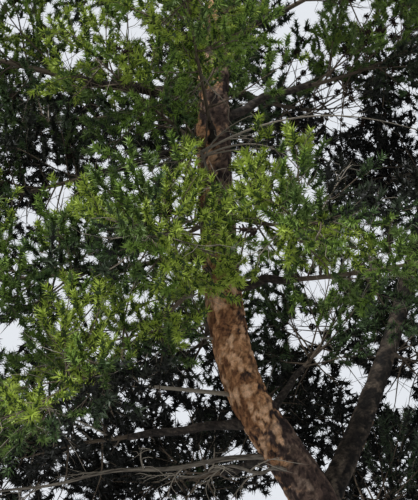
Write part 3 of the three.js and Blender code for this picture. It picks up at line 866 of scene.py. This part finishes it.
def onPhoto(points):
    # where the camera sees each point, in the photo's pixels
    pitch = math.radians(cameraView["pitch"])
    ahead = np.array((0, math.cos(pitch), math.sin(pitch)))
    above = np.array((0, -math.sin(pitch), math.cos(pitch)))
    away = points - np.array(cameraView["place"])
    scale = photoHeight * cameraView["lens"] / cameraView["sensor"] / np.maximum(away @ ahead, 0.1)
    return photoWidth / 2 + away[:, 0] * scale, photoHeight / 2 - (away @ above) * scale


def leftOpen(points):
    # whether the camera would see each point in a gap of the photo, or before bark or a limb that shows
    def seenIn(x0, y0, radius):
        return np.any(np.hypot(x[:, None] - x0, y[:, None] - y0) < radius, axis=1)

    x, y = onPhoto(points)
    limbs = onPhoto(np.vstack(shownPaths))
    inFront = points[:, 1] < trunkPoint(barkFront["height"])[1] - barkFront["ahead"] * mm
    windows = seenIn(*np.array(barkWindows, dtype=float).T) | seenIn(*limbs, limbOpening)
    return seenIn(*np.array(skyGaps, dtype=float).T) | (windows & inFront)


def twigHeadings(mass, draw):
    # where each twig leaves the stem, its heading, its share of the way to the wall, and if it's dead
    rows = []
    across = mass["axes"][1]
    curve = mass["stem"]["curve"]
    volume = 4 / 3 * math.pi * np.prod(mass["halves"])
    more = round(growth["moreTwigs"] * math.sqrt(volume) * mass["cover"])
    chance = growth["liftChance"]
    for count, span, lifts in (
        (growth["mainTwigs"], growth["mainSpan"], growth["mainLifts"]),
        (more, growth["moreSpan"], growth["moreLifts"]),
    ):
        for i in range(count):
            t = mix(*span, i / (count - 1))
            away = 1 if i % 2 else -1
            spread = math.radians(mix(*growth["spread"], draw()))
            lift = math.radians(lifts[i % len(lifts)] + mix(-chance, chance, draw()))
            draw(), draw()  # two draws that only the solids use
            share = mix(0.9, 1, draw())
            ahead = headingOn(curve, t)[0] * math.cos(spread) + across * away * math.sin(spread)
            ahead = unit(ahead * math.cos(lift) + up * math.sin(lift))
            isDead = count == more and draw() < growth["deadShare"]
            rows.append((t, ahead, share, isDead))
    rows.append((0.985, headingOn(curve, 1)[0], 1, False))
    return rows


def rootOn(limb, t, most):
    # a twig's radius at its root, by the limb's own there
    return min(most, growth["rootShare"] * float(radiusOn(limb, t)) / mm)


def growMass(mass, index, samples):
    g = growth
    draw = seeded(g["seed"] + g["seedStep"] * index)
    headings = twigHeadings(mass, draw)
    manyCones = mass["name"] in conedMasses
    coneShare = coneGrowth["manyShare" if manyCones else "share"]
    stem = mass["stem"]
    addTwig("live", pathOf(stem["curve"], 12), stem["foot"] / mm, stem["tip"] / mm * 0.6)
    if mass["axes"][0][1] < endOn:
        # seen end on, so its own stem needs clothing too
        path = pathOf(stem["curve"], 9, 0.2, 0.97)
        dressTwig(mass, path, lightOn(mass, path[4], mass["axes"][0], draw), samples, draw)
    for t, ahead, share, isDead in headings:
        base = along(stem["curve"], t)[0]
        length = roomAlong(mass, base, ahead) * share * g["twigReach"] - g["wallGap"] * mm
        if length < g["shortest"] * mm:
            continue
        path = crooked(base, ahead, length, mix(*g["twigRise"], draw()), g["twigWaver"], 7, draw)
        keep = np.argmax(np.append(gapTo(path[1:], samples) < g["twigClear"] * mm, True))
        if keep < 3:
            continue
        path = path[:keep + 1]
        root = rootOn(stem, t, g["twigRoot"])
        if isDead:
            addTwig("bare", path, root, g["deadTip"])
            growBareTwiglets(path, g["deadTwiglets"], draw)
            placeCones(path, draw, coneShare)
            continue
        addTwig("live", path, root, g["twigTip"])
        dressTwig(mass, path, lightOn(mass, mix(base, path[-1], 0.6), ahead, draw), samples, draw)
        if mass["centre"][1] < nearSide:
            growBareTwiglets(path, g["wornTwiglets"], draw)
        for _ in range(2 if manyCones else 1):
            placeCones(path, draw, coneShare)


def bareTwiglet(start, forward, k, kind, draw, scale=1):
    side = sidewards(forward, k)
    ahead = unit(forward + side * mix(*kind["out"], draw()) + up * mix(*kind["lift"], draw()))
    reach = mix(*kind["length"], draw()) * mm * scale
    twiglet = crooked(start, ahead, reach, kind["rise"], kind["waver"], 5, draw)
    if inBox(twiglet).all() or kind is finerTwig:
        addTwig("bare", twiglet, kind["root"], kind["tip"])


def growBareTwiglets(path, count, draw):
    for k in range(count):
        node = 1 + k % (len(path) - 2)
        bareTwiglet(path[node], unit(path[node + 1] - path[node]), k, wornTwiglet, draw)


def placeCones(path, draw, share):
    # cones sit singly or in pairs on the older wood, and point out and back
    c = coneGrowth
    if draw() > share:
        return
    node = 2 + int(draw() * (len(path) - 2))
    forward = unit(path[node] - path[node - 1])
    for away in (1, -1) if draw() < c["paired"] else (1,):
        side = unit(np.cross(forward, up)) * away
        ahead = unit(side + up * mix(*c["lift"], draw()) - forward * c["back"])
        cones.append((path[node] + ahead * c["standOff"] * mm, ahead, mix(*c["size"], draw())))


def dressTwig(mass, path, light, samples, draw):
    g, tuft = twigletGrowth, tuftGrowth
    steps = np.linalg.norm(np.diff(path, axis=0), axis=1)
    run = np.concatenate([[0], np.cumsum(steps)])
    length = run[-1]
    turn = draw() * 2 * math.pi
    count = max(int(length * (1 - g["span"][0]) / (g["gap"] * mm)), 1)
    for k in range(count + 1):
        s = mix(*g["span"], k / count)
        start = np.array([np.interp(s * length, run, path[:, j]) for j in range(3)])
        near = min(np.searchsorted(run, s * length), len(path) - 1)
        forward = unit(path[near] - path[near - 1])
        turn += goldenTurn
        ahead = leaning(forward, turn, math.radians(mix(*g["angle"], draw())), g["lift"])
        reach = mix(*g["length"], s) * mix(*g["lengthChance"], draw()) * mm
        twiglet = crooked(start, ahead, reach, g["rise"], g["waver"], 3, draw)
        kept = keepTufts(mass, tuftSpots(twiglet, reach, draw), samples)
        if kept:
            addTwig("live", twiglet, g["root"], g["tip"])
            tint = chooseTint(light + mix(-g["lightChance"], g["lightChance"], draw()), twiglet[-1])
            tufts[tint].extend(kept)
    spot = endTuft(path, tuft["twigEndLift"], tuft["twigEndSize"])
    tufts[chooseTint(light, path[-1])].extend(keepTufts(mass, [spot], samples))


def endTuft(path, lift, size):
    forward = unit(path[-1] - path[-2])
    return path[-1] - forward * tuftGrowth["back"] * mm, unit(forward + up * lift), size


def tuftSpots(twiglet, reach, draw):
    # tufts clothe a twiglet from its tip back, nearly in line with it
    g = tuftGrowth
    forward = unit(twiglet[-1] - twiglet[-2])
    spots = [endTuft(twiglet, g["endLift"], mix(*g["endSize"], draw()))]
    count = int((reach - g["back"] * mm) / (g["gap"] * mm))
    turn = draw() * 2 * math.pi
    for k in range(count):
        place = mix(twiglet[0], twiglet[-1], (k + 0.3) / (count + 0.4))
        turn += goldenTurn
        ahead = leaning(forward, turn, math.radians(g["lean"]), g["lift"])
        spots.append((place, ahead, mix(*g["size"], draw())))
    return spots


def keepTufts(mass, spots, samples):
    g = tuftGrowth
    middles = np.array([place + ahead * g["middle"] * mm for place, ahead, _ in spots])
    tips = np.array([place + ahead * g["reach"] * mm * size for place, ahead, size in spots])
    fine = ownSpace(mass, middles) & (gapTo(middles, samples) > g["clear"] * mm)
    fine &= inBox(tips) & ~leftOpen(middles)
    return [spot for spot, good in zip(spots, fine) if good]


# Sprays on twigs at the front and on top, which face the light, are painted a lighter yellow-green, and
# those behind are painted dark, as shade. On the far side, open to the sky again, they're painted a little
# lighter. Places in metres towards the back.
lightBy = {"near": 1.5, "depth": 3.2, "range": (-0.05, 0.56), "farFrom": 1.7, "farDepth": 0.9,
           "far": 0.36, "rising": 0.18, "facing": 0.06, "chance": (-0.14, 0.2)}


def lightOn(mass, place, ahead, draw):
    b = lightBy
    forward = min(max((b["near"] - place[1]) / b["depth"], 0), 1)
    farSide = min(max((place[1] - b["farFrom"]) / b["farDepth"], 0), 1)
    light = mix(*b["range"], forward) + b["far"] * farSide + mass["light"]
    return light + b["rising"] * ahead[2] - b["facing"] * ahead[1] + mix(*b["chance"], draw())


def chooseTint(light, place):
    # a spray's tint by the light on its twig and the patch of the photo that it falls in
    x, y = onPhoto(place[None])
    patchX, patchY, radius, change = np.array(lightPatches).T
    near = np.clip(2 - 2 * np.hypot(patchX - x, patchY - y) / radius, 0, 1)
    light += float(change @ near)
    return next((tint for tint, least in zip(tints, tintLight) if light > least), tints[-1])


# A tuft: pairs of twisted needles spiralling up a shoot, which spread to a blunt end. Each needle is one
# long face. A tuft has fewer than a real shoot, so they're broader, most of all in the shaded tufts.
# Pairs, length of the shoot and of a needle, its width, seed
litTufts = {"full": (20, 98, 55, 13, 11), "short": (18, 80, 52, 13, 12), "long": (21, 116, 55, 13, 13)}
shadedTufts = {"full": (14, 100, 64, 17, 21), "short": (13, 84, 60, 17, 22), "long": (15, 118, 64, 17, 23)}
# How needles lean from foot to tip and part in pairs, and by how much they vary
needle = {"lean": (78, 46), "leanPower": 1.6, "leanSpread": 11, "part": 0.3, "partSpread": 0.12,
          "roll": 1.2, "length": (0.8, 1.15), "curl": 0.34, "curlRange": (-0.5, 1)}
# The closely packed foot of the needles
heart = {"radius": 22, "length": 104, "back": 8, "widest": 0.3, "sides": 3}
# The least size of a copy, and how much more it may have
needleSize = (0.94, 0.2)
coneSize = (0.9, 0.2)


def tuftMesh(name, pairs, shoot, length, width, seed):
    n = needle
    rng = np.random.default_rng(seed)
    count = pairs * 2
    k = np.arange(count)
    s = (k // 2 + 0.5) / pairs
    parting = np.where(k % 2, 1, -1) * n["part"]
    turn = (k // 2) * goldenTurn + parting + rng.normal(0, n["partSpread"], count)
    lean = np.radians(mix(*n["lean"], s ** n["leanPower"]) + rng.normal(0, n["leanSpread"], count))
    out = np.stack([np.cos(turn), np.sin(turn), np.zeros(count)], axis=1)
    ahead = out * np.sin(lean)[:, None] + up * np.cos(lean)[:, None]
    flat = np.cross(np.broadcast_to(up, out.shape), out)
    roll = rng.uniform(-n["roll"], n["roll"], count)[:, None]
    side = flat * np.cos(roll) + np.cross(ahead, flat) * np.sin(roll)
    long = length * mm * rng.uniform(*n["length"], count)[:, None]
    half = side * width * mm / 2
    root = up * (s * shoot * mm)[:, None]
    curl = np.cross(ahead, side) * rng.uniform(*n["curlRange"], count)[:, None] * n["curl"] * long
    points = np.stack([root - half, root + half, root + ahead * long + curl], axis=1).reshape(-1, 3)
    return addMesh(name, points, triangles=np.arange(count * 3).reshape(-1, 3), smooth=False)


def heartMesh(name):
    sides = heart["sides"]
    rim = ringOf(sides) * heart["radius"] * mm
    rim = rim + up * heart["widest"] * heart["length"] * mm
    points = np.vstack([rim, [(0, 0, -heart["back"] * mm)], [(0, 0, heart["length"] * mm)]])
    (ring,), (after,), _ = wallsOf(1, sides)
    fans = np.vstack([fanOf(after, ring, sides), fanOf(ring, after, sides + 1)])
    return addMesh(name, points, triangles=fans, smooth=False)


# A cone: an egg-shaped core under spiral rows of woody scales with thickened tips, each rooted a little
# below its row and half the cone's radius out
coneShape = {"radius": 25, "length": 60, "sides": 5, "rings": 3, "span": (0.08, 0.92), "bulge": 0.7,
             "core": 0.8, "rows": 4, "perRow": 4, "scaleOut": 10, "scaleWide": 21, "scaleBelow": 8,
             "rootOut": 0.5, "thick": 4}


def coneMesh(name, opened):
    c = coneShape
    sides, rings = c["sides"], c["rings"]
    t = np.linspace(*c["span"], rings)
    profile = np.sin(t * math.pi) ** c["bulge"] * c["radius"] * mm * c["core"]
    centres = np.column_stack([np.zeros(rings), np.zeros(rings), t * c["length"] * mm])
    points = (centres[:, None] + ringOf(sides)[None] * profile[:, None, None]).reshape(-1, 3)
    index, _, quads = wallsOf(rings, sides)
    caps = [(index[0][0], index[0][i + 1], index[0][i]) for i in range(1, sides - 1)]
    caps += [(index[-1][0], index[-1][i], index[-1][i + 1]) for i in range(1, sides - 1)]
    triangles = [np.array(caps)]
    base = len(points)
    allPoints = [points]
    for row in range(c["rows"]):
        share = (row + 0.7) / (c["rows"] + 0.4)
        radius = math.sin(share * math.pi) ** c["bulge"] * c["radius"] * mm
        for i in range(c["perRow"]):
            a = (i + 0.5 * (row % 2)) * 2 * math.pi / c["perRow"]
            out = np.array((math.cos(a), math.sin(a), 0))
            side = np.array((-math.sin(a), math.cos(a), 0))
            root = out * radius * c["rootOut"] + up * (share * c["length"] - c["scaleBelow"]) * mm
            reach = out * (radius * c["rootOut"] + c["scaleOut"] * opened * mm) + up * c["scaleOut"] * mm
            wide = side * c["scaleWide"] * mm * (0.35 + 0.3 * math.sin(share * math.pi))
            tip = root + reach
            edge = tip + up * c["thick"] * mm + out * c["thick"] * mm
            allPoints.append(np.array([root, tip - wide, tip + wide, edge]))
            triangles.append(base + np.array([(0, 2, 1), (0, 1, 3), (0, 3, 2), (1, 2, 3)]))
            base += 4
    return addMesh(name, np.vstack(allPoints), quads, np.vstack(triangles), smooth=False)


# Puts a copy of one of a collection's meshes on every point, turned along the point's own heading
def scatterTree():
    tree, given = newTree("grown on points", {
        "Kinds": "Collection", "Size": "Float", "Spread": "Float", "Seed": "Int", "Finish": "Material",
    })

    ahead = addNode(tree, "GeometryNodeInputNamedAttribute", {"Name": "ahead"}, data_type="FLOAT_VECTOR")
    grown = addNode(tree, "GeometryNodeInputNamedAttribute", {"Name": "grown"}, data_type="FLOAT")
    aligned = addNode(tree, "FunctionNodeAlignRotationToVector", {"Vector": ahead}, axis="Z")
    spin = addNode(tree, "FunctionNodeRandomValue", {"Seed": given["Seed"]}, data_type="FLOAT")
    angle = addNode(tree, "ShaderNodeMath", {0: spin.outputs[1], 1: 2 * math.pi}, operation="MULTIPLY")
    turn = addNode(tree, "FunctionNodeAxisAngleToRotation", {"Angle": angle})
    turned = addNode(tree, "FunctionNodeRotateRotation", {"Rotation": aligned, "Rotate By": turn},
                     rotation_space="LOCAL")
    nextSeed = addNode(tree, "ShaderNodeMath", {0: given["Seed"], 1: 1.0}, operation="ADD")
    vary = addNode(tree, "FunctionNodeRandomValue", {"Seed": nextSeed}, data_type="FLOAT")
    spread = addNode(tree, "ShaderNodeMath", {0: vary.outputs[1], 1: given["Spread"], 2: given["Size"]},
                     operation="MULTIPLY_ADD")
    size = addNode(tree, "ShaderNodeMath", {0: spread, 1: grown}, operation="MULTIPLY")
    kinds = addNode(tree, "GeometryNodeCollectionInfo", {"Collection": given["Kinds"],
                                                         "Separate Children": True})
    placed = addNode(tree, "GeometryNodeInstanceOnPoints", {
        "Points": given["Geometry"], "Instance": kinds, "Pick Instance": True,
        "Rotation": turned, "Scale": size,
    })
    endTree(tree, placed.outputs[0], given["Finish"])
    return tree


def scatter(name, rows, kinds, finish, slotName, seed, sizes=needleSize):
    # grows a copy on each row's place, and settles the piece among the needles
    places, aheads, grown = zip(*rows)
    piece = addMesh(name, np.array(places))
    storeOn(piece, "ahead", aheads)
    storeOn(piece, "grown", grown)
    runTree(piece, scatterRule, {
        "Kinds": kinds, "Size": sizes[0], "Spread": sizes[1], "Seed": seed, "Finish": finish,
    })
    settle(piece, needleNodes, slotName)
    print(name, len(rows), len(piece.data.polygons))


def kindsOf(name, makers):
    # templates kept together while they are copied
    kinds = bpy.data.collections.new(name)
    bpy.context.scene.collection.children.link(kinds)
    for maker in makers:
        template = maker()
        bpy.context.scene.collection.objects.unlink(template)
        kinds.objects.link(template)
    return kinds


def dropKinds(kinds):
    for template in list(kinds.objects):
        bpy.data.objects.remove(template)
    bpy.data.collections.remove(kinds)


# Dead limbs, with the solids' five twigs each and finer ones on them. The long limbs waver more
deadGrowth = {"sides": 10, "ring": 20, "long": 1000, "waver": (34, 8), "twigs": 5, "last": 0.92,
              "reach": (0.55, 1), "turn": (28, 88), "slope": (-12, 30), "swing": 26, "droop": (-46, -8),
              "root": 12, "tip": 2.2, "finer": 6, "finerSpan": (0.3, 0.95)}
finerTwig = {"out": (0.5, 1.1), "lift": (-0.5, 0.4), "length": (140, 460), "rise": -0.15, "waver": 0.08,
             "root": 4, "tip": 1.4}
# Long pale twigs that arch across the trunk from the snag, and short broken stubs down the trunk:
# where they start (share of the snag, or height), azimuth, rise, swing, bend, length, radius
archTwigs = (
    (0.96, 2, 36, -4, -60, 2350, 14), (0.9, 352, 24, 6, -96, 1550, 11), (0.8, 205, 10, -30, -58, 620, 9),
    (0.98, 30, 44, 20, -30, 900, 9),
)
stubs = (
    (6900, 232, -52, 10, 20, 480, 13), (4420, 196, -4, 8, 10, 260, 16), (2320, 300, 18, 0, 8, 190, 20),
    (1740, 150, 12, 0, 10, 130, 19), (1320, 24, 10, 6, 6, 160, 17), (2050, 60, 20, 0, 6, 110, 16),
    (4900, 330, 8, 10, -14, 210, 13), (7350, 20, 14, 0, 10, 240, 13), (3920, 196, 2, 10, -6, 900, 25),
)
archTip = 4  # the arching twigs' radius at their tips
# How deep a stub starts in the bark, in metres, its tip's share of its radius, and the length from which on
# the photo shows it whole
stubShape = {"depth": 0.03, "tipShare": 0.55, "long": 500}


def growFinerTwigs(curve, draw):
    count = deadGrowth["finer"]
    for k in range(count):
        s = mix(*deadGrowth["finerSpan"], k / (count - 1))
        bareTwiglet(along(curve, s)[0], headingOn(curve, s)[0], k, finerTwig, draw, 1 - 0.5 * s)


def growDeadBough(name):
    g = deadGrowth
    foot, azimuth, rise, swing, bend, length, radius, first, twigLength = deadBoughs[name]
    limb = limbFrom(foot, azimuth, rise, swing, bend, length, radius, radius * taper["deadBough"],
                    g["waver"][length <= g["long"]])
    draw = seeded(foot)
    for i in range(g["twigs"]):
        t = mix(first, g["last"], i / (g["twigs"] - 1))
        away = 1 if i % 2 else -1
        twigReach = twigLength * mix(*g["reach"], draw())
        turn = azimuth + swing * t + away * mix(*g["turn"], draw())
        slope = mix(*g["slope"], draw())
        droop = mix(*g["droop"], draw())
        curve = limbCurve(limbLine(limb, t)[0], turn, slope, away * g["swing"], droop, twigReach)
        addTwig("bare", pathOf(curve, 12), rootOn(limb, t, g["root"]), g["tip"])
        growFinerTwigs(curve, draw)
    return limb


def growArchTwigs(snag):
    draw = seeded(41)
    for t, azimuth, rise, swing, bend, length, radius in archTwigs:
        curve = limbCurve(limbLine(snag, t)[0], azimuth, rise, swing, bend, length)
        path = pathOf(curve, 24)
        shownPaths.append(path)
        addTwig("bare", path, radius, archTip)
        growFinerTwigs(curve, draw)


def growStubs():
    for foot, azimuth, rise, swing, bend, length, radius in stubs:
        base = trunkPoint(foot) + heading(azimuth, rise) * (trunkAt(foot)[1][0] - stubShape["depth"])
        curve = limbCurve(base, azimuth, rise, swing, bend, length)
        path = pathOf(curve, 6)
        addTwig("bare", path, radius, radius * stubShape["tipShare"])
        if length > stubShape["long"]:
            shownPaths.append(path)


def addDeadBoughs():
    for name in deadBoughs:
        limb = growDeadBough(name)
        piece = limbMesh("dead_" + name, limb, deadGrowth["sides"], deadGrowth["ring"], start=0.03)
        settle(piece, ["dead_bough_" + name], "dead_wood", deadFinish)
        if name == "snag":
            growArchTwigs(limb)
    growStubs()


# The masses: all twigs in two pieces, the needles in one for each tint, and the cones

def addTwigs():
    twigs = twigMesh("twigs", twigLists["live"])
    settle(twigs, needleNodes, "bough_bark", twigFinish)
    bareTwigs = twigMesh("bare_twigs", twigLists["bare"])
    deadNodes = ["dead_bough_" + name for name in deadBoughs]
    settle(bareTwigs, needleNodes + deadNodes, "dead_wood", bareTwigFinish)
    print("twigs", len(twigs.data.polygons), len(bareTwigs.data.polygons))


def tuftKinds(name, shapes):
    return kindsOf(name, [
        lambda kind=kind, shape=shape: tuftMesh(f"{name}_{kind}", *shape) for kind, shape in shapes.items()
    ])


def addNeedles():
    kindsByLight = {
        "front": tuftKinds("lit_tufts", litTufts),
        "back": tuftKinds("shaded_tufts", shadedTufts),
    }
    for number, tint in enumerate(tints):
        side = "front" if tint in litTints else "back"
        # each tint's plain colour paints its sprays' light and shade
        finish = needleFinish(tint + " needles", needleColours[tint])
        scatter("needles_" + tint, tufts[tint], kindsByLight[side], finish, "needles_" + side, number * 10)
    for kinds in kindsByLight.values():
        dropKinds(kinds)


def addInnerNeedles():
    # The hearts are painted dark as the shade inside each tuft: dark green under the three lightest tints,
    # near black under the rest
    kinds = kindsOf("hearts", [lambda: heartMesh("heart")])
    for tone, slotName, chosen in (
        ("green", "needles_front", litTints[:-1]),
        ("dark", "needles_back", tints[len(litTints) - 1:]),
    ):
        rows = [row for tint in chosen for row in tufts[tint]]
        finish = needleFinish(tone + " inner needles", heartShadeColours[tone])
        scatter("inner_needles_" + tone, rows, kinds, finish, slotName, 70)
    dropKinds(kinds)


def addCones():
    kinds = kindsOf("cone kinds", [
        lambda: coneMesh("closed_cone", 0.6),
        lambda: coneMesh("open_cone", 1.2),
    ])
    scatter("cones", cones, kinds, coneFinish, "dead_wood", 90, coneSize)
    dropKinds(kinds)


addCamera()
addStudio()
print("camera, floor and light")

# On each bark, the side away from the key light is painted shade as more weathered bark, by its own weight
barkFinish = scalyBark("scaly pine bark", {
    "patches": 4.5, "flakes": 14.0, "seamShade": 0.42, "roughness": 0.86, "paintedShadeSide": 2.4, "warmShare": 1.04,
    "fresh": (0.36, 0.78, ("#6A4630", "#A0704C", "#D09C70", "#EDC09A")),
    "weathered": (0.36, 0.8, ("#2C2322", "#4E3E39", "#766054", "#A08A7A")),
})
# The second stem's bark is darker and grayer, partly its own colour and partly painted shade, with more
# painted shade on its side away from the key light
forkFinish = scalyBark("dark bark of the second stem", {
    "patches": 5.5, "flakes": 26.0, "seamShade": 0.4, "roughness": 0.88, "paintedShadeSide": 5.0, "warmShare": 0.0,
    "fresh": (0.34, 0.8, ("#2F251E", "#5E4A3A", "#8E7259")),
    "weathered": (0.34, 0.84, ("#131110", "#2E2924", "#4E443B", "#74685A")),
})
boughFinish = scalyBark("rough bough bark", {
    "patches": 6.0, "flakes": 30.0, "seamShade": 0.6, "roughness": 0.9, "paintedShadeSide": 0.0, "warmShare": 0.0,
    "fresh": (0.34, 0.8, ("#3F332A", "#5D4C40", "#7B6858")),
    "weathered": (0.34, 0.8, ("#221F1D", "#403934", "#645A51")),
})
deadFinish = weatheredWood("weathered dead wood", "#8E8578", "#403A34", 0.012)
bareTwigFinish = weatheredWood("dead twigs, bleached", "#B9AF9F", "#6C6459", 0.012)
twigFinish = weatheredWood("twig bark", "#857767", "#473D34", 0.01)
coneFinish = weatheredWood("cone scales", "#41342C", "#1E1815", 0.012)
# Needle tints: painted sunlight on the lightest, painted shade down to the darkest
needleColours = {"sunlit": "#A6BA4C", "fresh": "#83A047", "olive": "#6B8343", "mid": "#50683E",
                 "deep": "#3E4B37", "shade": "#2D3029", "gloom": "#131510"}
# Inner needles painted dark, as the shade inside the tufts
heartShadeColours = {"green": "#344820", "dark": "#11140F"}

barkTree = barkReliefTree()
scatterRule = scatterTree()
planTree()
addTrunk()
addForkStem()
addBoughs()
print("trunk, fork and boughs")
addDeadBoughs()
print("dead limbs")

samples = limbSamples()
for index, mass in enumerate(masses):
    growMass(mass, index, samples)
needleNodes = ["needles_" + mass["name"] for mass in masses]
addTwigs()
addNeedles()
addInnerNeedles()
addCones()
